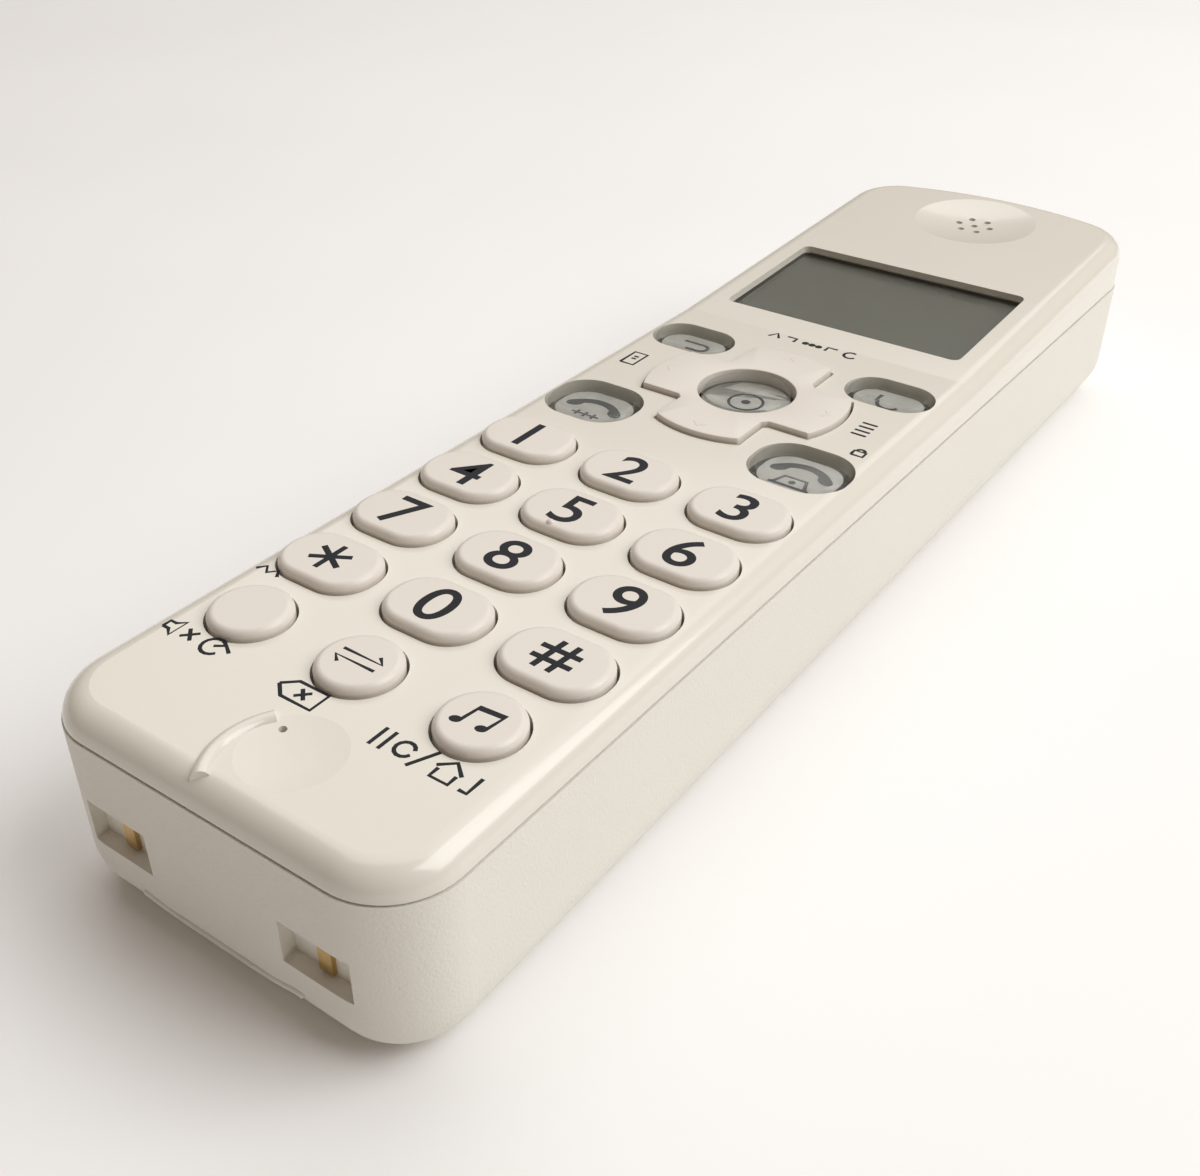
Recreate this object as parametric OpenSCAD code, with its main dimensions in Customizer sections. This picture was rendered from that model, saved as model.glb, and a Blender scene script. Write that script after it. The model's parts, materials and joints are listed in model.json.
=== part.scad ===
// Cordless telephone handset, lying on its back.
// +X points to the handset's right, +Y to the earpiece and +Z out of the face.
// The origin is under the middle of the handset, on the plane it rests on.

/* [Body] */
// Width of the handset
body_w = 46; // [46:0.2:56]
// Length of the handset
body_l = 176; // [172:0.2:212]
// Height of the face over the back, at the keys
face_z = 23.2; // [23:0.1:28]
// Thickness of the walls of both covers
wall = 1.8; // [1.6:0.02:2.2]
// Plan radius of the two corners at the bottom end
corner_bottom_r = 7.8; // [7:0.1:10]
// Plan radius of the two corners at the earpiece end
corner_top_r = 9; // [8:0.1:12]
// Radius of the front cover's outer edge
front_edge_r = 3; // [2.5:0.1:3.6]
// Radius of the rear cover's lower edge
back_edge_r = 6; // [4:0.1:6.4]
// Distance from the bottom end to where the face starts to rise
rise_start = 110; // [108:0.5:114]
// Angle by which the face rises towards the earpiece
rise_angle = 2.5; // [1:0.1:3.5]
// Step down at the line where the face starts to rise
fold_step = 0.02; // [0.02:0.01:0.05]

/* [Seam] */
// Depth of the seam under the face at the bottom end
seam_drop_bottom = 2.9; // [2.8:0.1:3.4]
// Depth of the seam under the level of the keys' face at the earpiece end
seam_drop_top = 5.1; // [4:0.1:6]
// Height of the open seam line between the covers
seam_gap = 0.25; // [0.1:0.05:0.4]
// How far the front cover stands inside the rear cover's outline
seam_step = 0.15; // [0:0.05:0.3]
// Height of the rear cover's tongue inside the front cover
tongue_h = 0.7; // [0.5:0.05:0.8]
// Thickness of that tongue
tongue_t = 0.8; // [0.6:0.05:0.9]

/* [Keys] */
// Distance between key columns
column_pitch = 14.5; // [14:0.1:15]
// Distance between key rows
row_pitch = 11; // [10:0.1:11]
// Distance from the bottom end to the row of round keys
round_row = 20.3; // [20:0.1:21]
// Width of a number key
key_w = 11.6; // [9.6:0.1:11.8]
// Height of a number key along the handset
key_l = 8.4; // [7:0.1:8.6]
// Plan radius of a number key's corners
key_corner_r = 3.9; // [2:0.1:4.1]
// Diameter of a round key
round_key_d = 8.6; // [7:0.1:8.8]
// How far the keys stand over the face
key_rise = 1.1; // [0.9:0.1:1.4]
// Radius of a key's top edge
key_edge_r = 0.8; // [0.4:0.05:0.9]
// Travel of a key
key_travel = 0.8; // [0.5:0.05:0.8]
// Width of the collar that keeps a key in the cover
collar = 0.5; // [0.4:0.05:0.5]
// Thickness of that collar
collar_t = 0.8; // [0.6:0.05:0.9]

/* [Clear keys] */
// Distance from the top row of numbers to the talk and end keys
talk_offset = 13.6; // [13.2:0.1:14]
// Width of the talk and end keys
talk_w = 11.8; // [10:0.1:12]
// Height of the talk and end keys along the handset
talk_l = 9.8; // [8.8:0.1:10.2]
// Plan radius of the talk and end keys' corners
talk_corner_r = 4.3; // [3:0.1:4.8]
// Distance from the top row of numbers to the soft keys
soft_offset = 37; // [37:0.1:37.8]
// Width of a soft key
soft_w = 11.2; // [9.5:0.1:11.4]
// Height of a soft key along the handset
soft_l = 7.4; // [7.3:0.1:7.4]
// Plan radius of a soft key's corners
soft_corner_r = 3.6; // [3:0.1:3.6]
// Distance of the clear keys from the middle line
clear_x = 14.7; // [14.5:0.1:14.8]
// How far the clear keys stand over the face
clear_rise = 0.4; // [0.3:0.1:0.8]
// Thickness of the printed plate under a clear key
plate_t = 0.6; // [0.4:0.1:0.8]
// Thickness of the clear cap over the print
cap_t = 1.5; // [1.3:0.1:2]

/* [Navigator] */
// Distance from the top row of numbers to the middle of the navigator
nav_offset = 26.2; // [26:0.1:26.6]
// Length of the cross from tip to tip
nav_span = 26.4; // [25:0.1:26.6]
// Width of an arm of the cross
nav_arm = 11.6; // [11:0.1:11.6]
// Diameter of the middle button
nav_button_d = 11.4; // [9:0.1:11.6]
// How far the cross stands over the face
nav_rise = 0.7; // [0.6:0.1:0.9]
// Width of the hub between the arms, from corner to corner of the round
nav_hub_d = 17.4; // [17:0.1:18]
// Angle by which the navigator rocks
nav_tilt = 2.5; // [1:0.1:2.5]

/* [Display] */
// Width of the display opening
display_w = 35.8; // [30:0.1:36.2]
// Height of the display opening along the handset
display_l = 24; // [20:0.1:24.6]
// Distance from the start of the rise to the middle of the display
display_offset = 17.2; // [17:0.1:18]
// Depth of the clear window under the face
window_drop = 1; // [0.8:0.1:1.1]
// Thickness of the clear window
window_t = 1; // [0.8:0.1:1.2]
// Width of the rim by which the window is glued
window_rim = 1.4; // [1:0.1:1.5]

/* [Earpiece and microphone] */
// Distance from the earpiece end to the middle of the earpiece
earpiece_inset = 13.4; // [13.2:0.1:14]
// Diameter of the shallow dish over the earpiece
dish_d = 19; // [16:0.1:19.6]
// Depth of that dish
dish_depth = 0.9; // [0.5:0.1:1]
// Diameter of a sound hole
sound_hole_d = 1.1; // [0.8:0.1:1.3]
// Distance from the bottom end to the middle of the curved ridge at the microphone
ridge_y = 6.8; // [6.6:0.1:7.2]
// Radius of the ridge's curve
ridge_r = 7.5; // [7:0.1:8]
// Height of the ridge over the face
ridge_h = 0.45; // [0.3:0.05:0.6]

/* [Battery] */
// Diameter of one cell
cell_d = 10.5; // [8.7:0.05:11.2]
// Length of one cell
cell_l = 44.5; // [40:0.1:46]
// Width of the battery cover on the outside
cover_w = 33; // [30:0.1:34]
// Length of the battery cover
cover_l = 64; // [62:0.1:68]
// Width of the lip at the end of the battery cover
cover_lip_w = 20; // [16:0.1:22]
// Height of that lip over the back
cover_lip_z = 4; // [3.4:0.1:4.4]

/* [Charging contacts] */
// Distance of each recess from the middle line
contact_x = 12.6; // [12:0.1:13]
// Width of a contact recess
contact_w = 8.2; // [7:0.1:8.6]
// Height of a contact recess
contact_h = 5; // [4:0.1:5.4]
// Height of the recesses' middle over the back
contact_z = 10.6; // [10:0.1:11]
// Depth of a recess
contact_depth = 1.6; // [1.2:0.1:1.8]
// Width of a metal strip
strip_w = 1.6; // [1.2:0.1:2]

/* [Hidden] */
$fn = 64;

// Clearances
key_gap = 0.3;      // beside a key, and over its collar
slide_gap = 0.3;    // round the battery cover
fit_gap = 0.1;      // between pieces that are fixed together
embed = 0.6;        // how far a post or boss runs into the wall that carries it
beyond = 1;         // how far a cut runs past the face it opens

// Ends of the handset and places along it
y_bottom = -body_l / 2;
y_top = body_l / 2;
rise_y = y_bottom + rise_start;
round_y = y_bottom + round_row;
row_y = [for (i = [0:3]) round_y + (4 - i) * row_pitch];   // top row first
talk_y = row_y[0] + talk_offset;
nav_y = row_y[0] + nav_offset;
soft_y = row_y[0] + soft_offset;
earpiece_y = y_top - earpiece_inset;
function face_at(y) = face_z - (y > rise_y ? fold_step : 0) + max(0, y - rise_y) * tan(rise_angle);

// The earpiece end is an arc that meets both corners on a tangent. Their centres lie on a 7-24-25 triangle
crown_sin = 0.28;
crown_cos = 0.96;
crown_reach = round(4 * (body_w / 2 - corner_top_r) / crown_sin) / 4;
crown_corner_r = body_w / 2 - crown_sin * crown_reach;
crown_r = crown_reach + crown_corner_r;

// Levels of the keypad, from the cover down to the board
inner_z = face_z - wall;
collar_top = inner_z - key_gap;
collar_z = collar_top - collar_t;
mat_top = collar_z - key_travel - 1;
mat_t = 0.6;
boss_top = mat_top + 0.7;
nav_boss_top = mat_top + 0.25;
dome_t = 0.3;
board_top = mat_top - mat_t;
board_t = 1.2;
board_z = board_top - board_t;
stem_z = boss_top + 0.05;
nav_stem_z = nav_boss_top + 0.05;

// Board, and the screws that hold it to the front cover
board_w = body_w - 2 * (wall + 1.6);
board_y0 = y_bottom + 6;
board_y1 = earpiece_y - 13;
board_posts = [
    for (s = [-1, 1]) each [[s * (body_w / 2 - 6.2), y_bottom + 8.8], [s * (body_w / 2 - 4.4), rise_y]]
];
board_post_r = 1.8;
board_screw_r = 0.8;

// Screws that hold the covers together
case_posts = [for (s = [-1, 1]) [s * (body_w / 2 - 8.2), earpiece_y + 1]];
case_post_r = 2.9;
case_screw_r = 1.2;
case_meet_z = 9;
counterbore_r = 2.7;
counterbore_h = 4.6;

// Battery bay and cover
dovetail = 1.2;
bay_wall = 1.2;
cell_sleeve = 0.3;
bay_half = cover_w / 2 + dovetail + 2 * slide_gap;
bay_y0 = y_bottom + 7;
bay_y1 = y_bottom + cover_l - bay_wall - 0.2;
pack_z = wall + slide_gap;
pack_y0 = bay_y0 + 1;
bay_ceiling = pack_z + cell_d + 2 * cell_sleeve + 0.2;

// Speakers and microphone
speaker_d = 18;
speaker_h = 3.6;
gasket_t = 0.8;
ringer_d = 26;
ringer_h = 5;
ringer_y = y_top - 46;
mic_d = 6;
mic_h = 2.2;
mic_hole_d = 0.8;
mic_x = 1.6;
mic_y = y_bottom + 9.4;

// Room for a key whose middle stands at x, up to the side wall
function room(x) = 2 * (body_w / 2 - wall - fit_gap - collar - x);
key_wide = min(key_w, room(column_pitch));
talk_wide = min(talk_w, room(clear_x));
soft_wide = min(soft_w, room(clear_x));

// Keys: name, place, kind
number_keys = [
    ["key_1", -1, 0], ["key_2", 0, 0], ["key_3", 1, 0],
    ["key_4", -1, 1], ["key_5", 0, 1], ["key_6", 1, 1],
    ["key_7", -1, 2], ["key_8", 0, 2], ["key_9", 1, 2],
    ["key_star", -1, 3], ["key_0", 0, 3], ["key_hash", 1, 3]
];
round_keys = [["round_key_left", -1], ["round_key_middle", 0], ["melody_key", 1]];
clear_keys = [
    ["talk_key", -1, talk_y, talk_wide, talk_l, talk_corner_r],
    ["end_key", 1, talk_y, talk_wide, talk_l, talk_corner_r],
    ["soft_key_left", -1, soft_y, soft_wide, soft_l, soft_corner_r],
    ["soft_key_right", 1, soft_y, soft_wide, soft_l, soft_corner_r]
];
// Distance from the navigator's middle to where it presses, and the radius of a stem
nav_press = nav_span / 2 - 3;
press_r = 2;
// Every place where a stem presses the mat
press_points = concat(
    [for (k = number_keys) [k[1] * column_pitch, row_y[k[2]], boss_top]],
    [for (k = round_keys) [k[1] * column_pitch, round_y, boss_top]],
    [for (k = clear_keys) [k[1] * clear_x, k[2], boss_top]],
    [[0, nav_y, boss_top]],
    [for (s = [-1, 1]) each [[s * nav_press, nav_y, nav_boss_top], [0, nav_y + s * nav_press, nav_boss_top]]]
);

cream = [0.86, 0.85, 0.8];
ivory = [0.84, 0.83, 0.78];
smoke = [0.55, 0.58, 0.55, 0.5];
silver = [0.75, 0.76, 0.76];
gold = [0.72, 0.56, 0.25];
dark = [0.15, 0.15, 0.16];
green = [0.1, 0.35, 0.2];

// ---------- outlines and rounded forms ----------

// A rectangle with round corners, centred
module round_rect(w, l, r) {
    square([w - 2 * r, l], center = true);
    square([w, l - 2 * r], center = true);
    for (x = [-1, 1], y = [-1, 1]) translate([x * (w / 2 - r), y * (l / 2 - r)]) circle(r);
}

// Plan outline of the handset between y0 and y1, drawn in by d
module outline(y0, y1, d) {
    half = body_w / 2;
    x0 = half - corner_bottom_r;
    corner_y0 = y0 + corner_bottom_r;
    corner_y1 = y1 - crown_r + crown_cos * crown_reach;
    translate([-(half - d), corner_y0]) square([2 * (half - d), corner_y1 - corner_y0]);
    translate([-x0, y0 + d]) square([2 * x0, corner_bottom_r]);
    for (s = [-1, 1]) translate([s * x0, corner_y0]) circle(corner_bottom_r - d);
    for (s = [0, 1]) mirror([s, 0]) translate([crown_sin * crown_reach, corner_y1]) intersection() {
        circle(crown_corner_r - d);
        corner_sector();
    }
    translate([0, y1 - crown_r]) intersection() {
        circle(crown_r - d, $fn = 360);
        crown_sector();
    }
}

// The part of a corner circle outside the arc of the earpiece end
module corner_sector() {
    reach = 2 * crown_corner_r;
    polygon([[0, 0], [reach, 0], [reach, crown_cos * reach], [crown_sin * reach, crown_cos * reach]]);
}

// The wedge that the arc of the earpiece end fills
module crown_sector() {
    reach = 1.2 * crown_r;
    polygon([[0, 0], [crown_sin * reach, crown_cos * reach], [-crown_sin * reach, crown_cos * reach]]);
}

module quarter(r) {
    intersection() {
        circle(r);
        square(r);
    }
}

// Section of a rounded slab from its middle (x = 0) out to its wall at w, top at y = 0
module edge_profile(w, h, r) {
    translate([0, -h]) square([w, h - r]);
    translate([0, -r - 0.5]) square([w - r, r + 0.5]);
    translate([w - r, -r]) quarter(r);
}

// A slab of the plan outline drawn in by d, from z = -h to 0, with its top edge rounded by r
module slab(y0, y1, h, r, d) {
    x0 = body_w / 2 - corner_bottom_r;
    corner_y0 = y0 + corner_bottom_r;
    corner_y1 = y1 - crown_r + crown_cos * crown_reach;
    for (s = [0, 1]) mirror([s, 0, 0]) {
        translate([0, corner_y1, 0]) rotate([90, 0, 0])
            linear_extrude(corner_y1 - corner_y0) edge_profile(body_w / 2 - d, h, r);
        translate([x0, corner_y0, 0]) rotate([0, 0, -90]) rotate_extrude(angle = 90)
            edge_profile(corner_bottom_r - d, h, r);
        translate([crown_sin * crown_reach, corner_y1, 0]) intersection() {
            rotate_extrude() edge_profile(crown_corner_r - d, h, r);
            translate([0, 0, -h - 1]) linear_extrude(h + 2) corner_sector();
        }
    }
    translate([-x0, corner_y0, 0]) rotate([90, 0, 90]) linear_extrude(2 * x0)
        mirror([1, 0]) edge_profile(corner_bottom_r - d, h, r);
    translate([0, y1 - crown_r, 0]) intersection() {
        rotate_extrude($fn = 360) edge_profile(crown_r - d, h, r);
        translate([0, 0, -h - 1]) linear_extrude(h + 2) crown_sector();
    }
}

// Half space on one side of the plane where the face starts to rise
module before_rise() {
    translate([0, rise_y, face_z]) rotate([rise_angle / 2, 0, 0])
        translate([-body_w, -2 * body_l, -3 * face_z]) cube([2 * body_w, 2 * body_l, 6 * face_z]);
}

module after_rise() {
    translate([0, rise_y, face_z]) rotate([rise_angle / 2, 0, 0])
        translate([-body_w, 0, -3 * face_z]) cube([2 * body_w, 2 * body_l, 6 * face_z]);
}

// Puts children on the rising face: its surface is z = 0, its start is y = 0
module on_rise() {
    translate([0, rise_y, face_z - fold_step]) rotate([rise_angle, 0, 0]) children();
}

rise_l = round(100 * (y_top - rise_y - seam_drop_top * sin(rise_angle)) / cos(rise_angle)) / 100;

// Outside of the front of the handset, reaching well under the seam
module front_form() {
    r = front_edge_r - seam_step;
    intersection() {
        translate([0, 0, face_z]) slab(y_bottom, rise_y + 60, 10, r, seam_step);
        before_rise();
    }
    intersection() {
        on_rise() slab(-60, rise_l, 14, r, seam_step + fold_step);
        after_rise();
    }
}

// The space under the front cover's walls
module front_space() {
    intersection() {
        linear_extrude(inner_z) outline(y_bottom, y_top, wall);
        before_rise();
    }
    intersection() {
        on_rise() translate([0, 0, -2 * face_z]) linear_extrude(2 * face_z - wall)
            outline(-60, rise_l, wall + fold_step);
        after_rise();
    }
}

// Outside of the back of the handset, reaching up to the face
module rear_form() {
    mirror([0, 0, 1]) slab(y_bottom, y_top, face_z, back_edge_r, 0);
}

// The space inside the rear cover: its lower edge is stepped in, to keep the wall's thickness
module rear_space() {
    inner_r = back_edge_r - wall;
    steps = [wall, wall + 0.24 * inner_r, wall + 0.62 * inner_r, 2 * face_z];
    for (i = [0:2]) {
        low = steps[i] + (i == 0 ? 0.24 : 0) * inner_r / 2;
        translate([0, 0, steps[i]]) linear_extrude(steps[i + 1] - steps[i])
            outline(y_bottom, y_top,
                i == 2 ? wall : back_edge_r - sqrt(pow(inner_r, 2) - pow(back_edge_r - low, 2)));
    }
}

// Everything over the seam, moved up by lift
module over_seam(lift) {
    slope = (seam_drop_top - seam_drop_bottom) / body_l;
    reach = body_l;
    z0 = face_z - seam_drop_bottom + lift + slope * (reach - body_l / 2);
    z1 = face_z - seam_drop_top + lift - slope * (reach - body_l / 2);
    translate([-body_w, 0, 0]) rotate([90, 0, 90]) linear_extrude(2 * body_w)
        polygon([[-reach, z0], [reach, z1], [reach, 2 * face_z], [-reach, 2 * face_z]]);
}

// ---------- openings that pieces share ----------

// Places a child at every number key, round key and clear key, grown by g on each side
module key_outlines(g) {
    for (k = number_keys) translate([k[1] * column_pitch, row_y[k[2]]])
        round_rect(key_wide + 2 * g, key_l + 2 * g, key_corner_r + g);
    for (k = round_keys) translate([k[1] * column_pitch, round_y]) circle(round_key_d / 2 + g);
    for (k = clear_keys) translate([k[1] * clear_x, k[2]])
        round_rect(k[3] + 2 * g, k[4] + 2 * g, k[5] + g);
}

// The cross of the navigator, grown by g on each side. Its tips lie on one circle
module nav_outline(g) {
    reach = nav_span / 2 + g;
    translate([0, nav_y]) intersection() {
        circle(reach);
        union() {
            square([3 * reach, nav_arm + 2 * g], center = true);
            square([nav_arm + 2 * g, 3 * reach], center = true);
            circle(nav_hub_d / 2 + g);
        }
    }
}

// Section of the battery cover across the handset, grown by g; the plate is wider inside
module cover_section(g) {
    slant = dovetail / wall;
    low = cover_w / 2 + g - beyond * slant;
    high = cover_w / 2 + g + (wall + g) * slant;
    polygon([[-low, -beyond], [low, -beyond], [high, wall + g], [-high, wall + g]]);
}

// The space the battery cover takes in the rear cover's wall, grown by g
module cover_space(g) {
    y0 = y_bottom - beyond;
    y1 = y_bottom + cover_l - slide_gap + g;
    translate([0, y1, 0]) rotate([90, 0, 0]) linear_extrude(y1 - y0) cover_section(g);
    translate([-cover_lip_w / 2 - g, y0, 0])
        cube([cover_lip_w + 2 * g, back_edge_r + beyond, cover_lip_z + g]);
}

module contact_recess() {
    for (s = [-1, 1]) translate([s * contact_x - contact_w / 2, y_bottom - beyond, contact_z - contact_h / 2])
        cube([contact_w, contact_depth + beyond, contact_h]);
}

// ---------- front cover ----------

module front_shell() {
    intersection() {
        difference() {
            front_form();
            front_space();
        }
        union() {
            over_seam(tongue_h + fit_gap);
            difference() {
                over_seam(seam_gap);
                linear_extrude(2 * face_z) outline(y_bottom, y_top, wall - tongue_t - fit_gap);
            }
        }
    }
}

module front_posts() {
    for (p = board_posts) translate([p[0], p[1], board_top])
        cylinder(r = board_post_r, h = inner_z + embed - board_top);
    for (p = case_posts) translate([p[0], p[1], case_meet_z])
        cylinder(r = case_post_r, h = face_at(p[1] - case_post_r) - wall + embed - case_meet_z);
}

module earpiece_cuts() {
    dish_r = (dish_d * dish_d / 4 + dish_depth * dish_depth) / (2 * dish_depth);
    on_rise() translate([0, earpiece_y - rise_y, 0]) {
        translate([0, 0, dish_r - dish_depth]) sphere(dish_r, $fn = 200);
        for (a = [0:60:300]) rotate([0, 0, a]) translate([2.6, 0, -wall - beyond])
            cylinder(d = sound_hole_d, h = wall + beyond);
        translate([0, 0, -wall - beyond]) cylinder(d = sound_hole_d, h = wall + beyond);
    }
}

// The curved ridge and shallow dip over the microphone
module microphone_ridge() {
    translate([ridge_r - 2.6, y_bottom + ridge_y, face_z - ridge_h]) rotate([0, 0, 146])
        rotate_extrude(angle = 76) translate([ridge_r, 0]) circle(2 * ridge_h);
}

module microphone_cuts() {
    dip_r = 36;
    translate([3.4, y_bottom + 8.4, face_z + dip_r - 0.35]) sphere(dip_r, $fn = 120);
    translate([mic_x - 1.2, mic_y + 0.8, inner_z - beyond]) cylinder(d = mic_hole_d, h = wall + 2 * beyond);
}

module front_cover() {
    color(cream) {
        difference() {
            union() {
                front_shell();
                front_posts();
            }
            translate([0, 0, inner_z - beyond]) linear_extrude(wall + 2 * beyond) {
                key_outlines(key_gap);
                nav_outline(key_gap + 0.05);
            }
            on_rise() translate([0, display_offset, 0]) {
                translate([0, 0, -wall - beyond]) linear_extrude(wall + 2 * beyond)
                    round_rect(display_w, display_l, 1.2);
                translate([0, 0, -wall - beyond]) linear_extrude(wall + beyond - window_drop)
                    round_rect(display_w + 2 * window_rim + 2 * fit_gap,
                               display_l + 2 * window_rim + 2 * fit_gap, 1.6);
            }
            earpiece_cuts();
            microphone_cuts();
            for (p = board_posts) translate([p[0], p[1], board_top - beyond])
                cylinder(r = board_screw_r, h = beyond + 2.4);
            for (p = case_posts) translate([p[0], p[1], case_meet_z - beyond])
                cylinder(r = case_screw_r, h = beyond + 6.2);
        }
        microphone_ridge();
    }
}

// ---------- rear cover ----------

module rear_shell() {
    difference() {
        rear_form();
        rear_space();
        over_seam(0);
    }
}

// Tongue that stands inside the front cover's edge
module seam_tongue() {
    difference() {
        intersection() {
            linear_extrude(face_z) outline(y_bottom, y_top, wall - tongue_t);
            over_seam(-embed);
        }
        linear_extrude(2 * face_z) outline(y_bottom, y_top, wall);
        over_seam(tongue_h);
    }
}

module bay_box() {
    translate([-bay_half - bay_wall, bay_y0 - bay_wall, wall + slide_gap])
        cube([2 * (bay_half + bay_wall), bay_y1 - bay_y0 + 2 * bay_wall,
              bay_ceiling + bay_wall - wall - slide_gap]);
    for (s = [-1, 1]) translate([s * (bay_half + bay_wall / 2) - bay_wall / 2, bay_y0 - bay_wall, wall - embed])
        cube([bay_wall, bay_y1 - bay_y0 + 2 * bay_wall, embed + 2 * slide_gap]);
}

module bay_space() {
    translate([-bay_half, bay_y0, wall - beyond])
        cube([2 * bay_half, bay_y1 - bay_y0, bay_ceiling - wall + beyond]);
}

// Thicker wall behind the contact recesses
module contact_backs() {
    intersection() {
        linear_extrude(face_z) outline(y_bottom, y_top, embed);
        for (s = [-1, 1])
            translate([s * contact_x - contact_w / 2 - wall, y_bottom, contact_z - contact_h / 2 - wall])
                cube([contact_w + 2 * wall, contact_depth + wall, contact_h + 2 * wall]);
    }
}

module ringer_slots() {
    for (i = [-3:3]) {
        run = 2 * sqrt(pow(ringer_d / 2 - 3, 2) - pow(i * 2.8, 2));
        translate([0, ringer_y + i * 2.8, -beyond]) linear_extrude(wall + 2 * beyond)
            round_rect(run, 1.2, 0.59);
    }
}

module rear_cover() {
    color(ivory) difference() {
        union() {
            rear_shell();
            seam_tongue();
            contact_backs();
            difference() {
                union() {
                    bay_box();
                    for (p = case_posts) translate([p[0], p[1], wall - embed])
                        cylinder(r = counterbore_r + 1.2, h = case_meet_z - wall + embed);
                    translate([0, ringer_y, wall - embed]) difference() {
                        cylinder(r = ringer_d / 2 + 1.4, h = 3 + embed);
                        translate([0, 0, -beyond]) cylinder(r = ringer_d / 2 + fit_gap, h = 6);
                    }
                }
                over_seam(-beyond);
            }
        }
        bay_space();
        cover_space(slide_gap);
        contact_recess();
        for (s = [-1, 1]) translate([s * contact_x - strip_w / 2 - fit_gap, y_bottom, contact_z - 0.4])
            cube([strip_w + 2 * fit_gap, contact_depth + wall + beyond, 1]);
        ringer_slots();
        for (p = case_posts) translate([p[0], p[1], -beyond]) {
            cylinder(r = counterbore_r, h = counterbore_h + beyond);
            cylinder(r = case_screw_r + fit_gap, h = case_meet_z + 2 * beyond);
        }
    }
}

module battery_cover() {
    color(ivory) difference() {
        intersection() {
            rear_form();
            cover_space(0);
        }
        rear_space();
        // thumb grooves
        for (i = [-2:2]) translate([0, y_bottom + 0.45 * cover_l + i * 2.4, -beyond])
            linear_extrude(beyond + 0.5) round_rect(14, 0.8, 0.39);
    }
}

// ---------- display ----------

module display_window() {
    color([0.6, 0.62, 0.6, 0.4]) on_rise() translate([0, display_offset, -window_drop - window_t])
        linear_extrude(window_t)
            round_rect(display_w + 2 * window_rim, display_l + 2 * window_rim, 1.5);
}

panel_top = -window_drop - window_t - 0.3;
panel_t = 1.6;
holder_z = panel_top - panel_t - 0.9;

module display_panel() {
    color([0.48, 0.49, 0.45]) on_rise() translate([0, display_offset, panel_top - panel_t])
        linear_extrude(panel_t) round_rect(display_w, display_l, 0.8);
}

module display_holder() {
    color([0.2, 0.2, 0.21]) on_rise() translate([0, display_offset, 0]) difference() {
        translate([0, 0, holder_z]) linear_extrude(panel_top - 0.1 - holder_z)
            round_rect(display_w + 2.4, display_l + 2.4, 1.2);
        translate([0, 0, panel_top - panel_t]) linear_extrude(panel_t + beyond)
            round_rect(display_w + 2 * fit_gap, display_l + 2 * fit_gap, 0.9);
    }
}

// ---------- keys ----------

// A block of round_rect plan, from z0 to z1, its top edge rounded by r
module rounded_cap(w, l, corner, z0, z1, r) {
    translate([0, 0, z0]) linear_extrude(z1 - r - z0) round_rect(w, l, corner);
    translate([0, 0, z1 - r]) {
        linear_extrude(r) round_rect(w - 2 * r, l - 2 * r, corner - r);
        for (s = [0, 180]) rotate([0, 0, s]) {
            translate([w / 2 - r, l / 2 - corner, 0]) rotate([90, 0, 0])
                linear_extrude(l - 2 * corner) quarter(r);
            translate([-w / 2 + corner, l / 2 - r, 0]) rotate([90, 0, 90])
                linear_extrude(w - 2 * corner) quarter(r);
        }
        for (x = [-1, 1], y = [-1, 1])
            translate([x * (w / 2 - corner), y * (l / 2 - corner), 0])
                rotate([0, 0, x > 0 ? (y > 0 ? 0 : -90) : (y > 0 ? 90 : 180)])
                    rotate_extrude(angle = 90) translate([corner - r, 0]) quarter(r);
    }
}

module stem(z1) {
    translate([0, 0, stem_z]) cylinder(r = press_r, h = z1 - stem_z);
}

module number_key(k) {
    color(cream) translate([k[1] * column_pitch, row_y[k[2]], 0]) {
        rounded_cap(key_wide, key_l, key_corner_r, collar_z, face_z + key_rise, key_edge_r);
        translate([0, 0, collar_z]) linear_extrude(collar_t)
            round_rect(key_wide + 2 * collar, key_l + 2 * collar, key_corner_r + collar);
        stem(collar_z);
    }
}

module round_key(k) {
    r = round_key_d / 2;
    color(cream) translate([k[1] * column_pitch, round_y, 0]) {
        rotate_extrude() {
            translate([0, collar_z]) square([r, face_z + key_rise - key_edge_r - collar_z]);
            translate([0, face_z + key_rise - key_edge_r]) {
                square([r - key_edge_r, key_edge_r]);
                translate([r - key_edge_r, 0]) quarter(key_edge_r);
            }
            translate([0, collar_z]) square([r + collar, collar_t]);
            translate([0, stem_z]) square([press_r, collar_z - stem_z]);
        }
    }
}

// The plate stands up inside the clear cap, so that its print lies close under the top
print_z = face_z + clear_rise - cap_t;
clear_wall = 0.9;
print_inset = clear_wall + fit_gap;

module clear_key(k) {
    color(smoke) translate([k[1] * clear_x, k[2], 0]) difference() {
        union() {
            rounded_cap(k[3], k[4], k[5], collar_z, face_z + clear_rise, key_edge_r);
            translate([0, 0, collar_z]) linear_extrude(collar_t)
                round_rect(k[3] + 2 * collar, k[4] + 2 * collar, k[5] + collar);
        }
        translate([0, 0, collar_z - beyond]) linear_extrude(print_z + fit_gap - collar_z + beyond)
            round_rect(k[3] - 2 * clear_wall, k[4] - 2 * clear_wall, k[5] - clear_wall);
    }
}

module clear_key_plate(k) {
    color(silver) translate([k[1] * clear_x, k[2], 0]) {
        translate([0, 0, collar_z - plate_t]) linear_extrude(plate_t)
            round_rect(k[3] + 2 * collar, k[4] + 2 * collar, k[5] + collar);
        translate([0, 0, collar_z - plate_t]) linear_extrude(print_z - collar_z + plate_t)
            round_rect(k[3] - 2 * print_inset, k[4] - 2 * print_inset, k[5] - print_inset);
        stem(collar_z - plate_t);
    }
}

// ---------- navigator ----------

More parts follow.
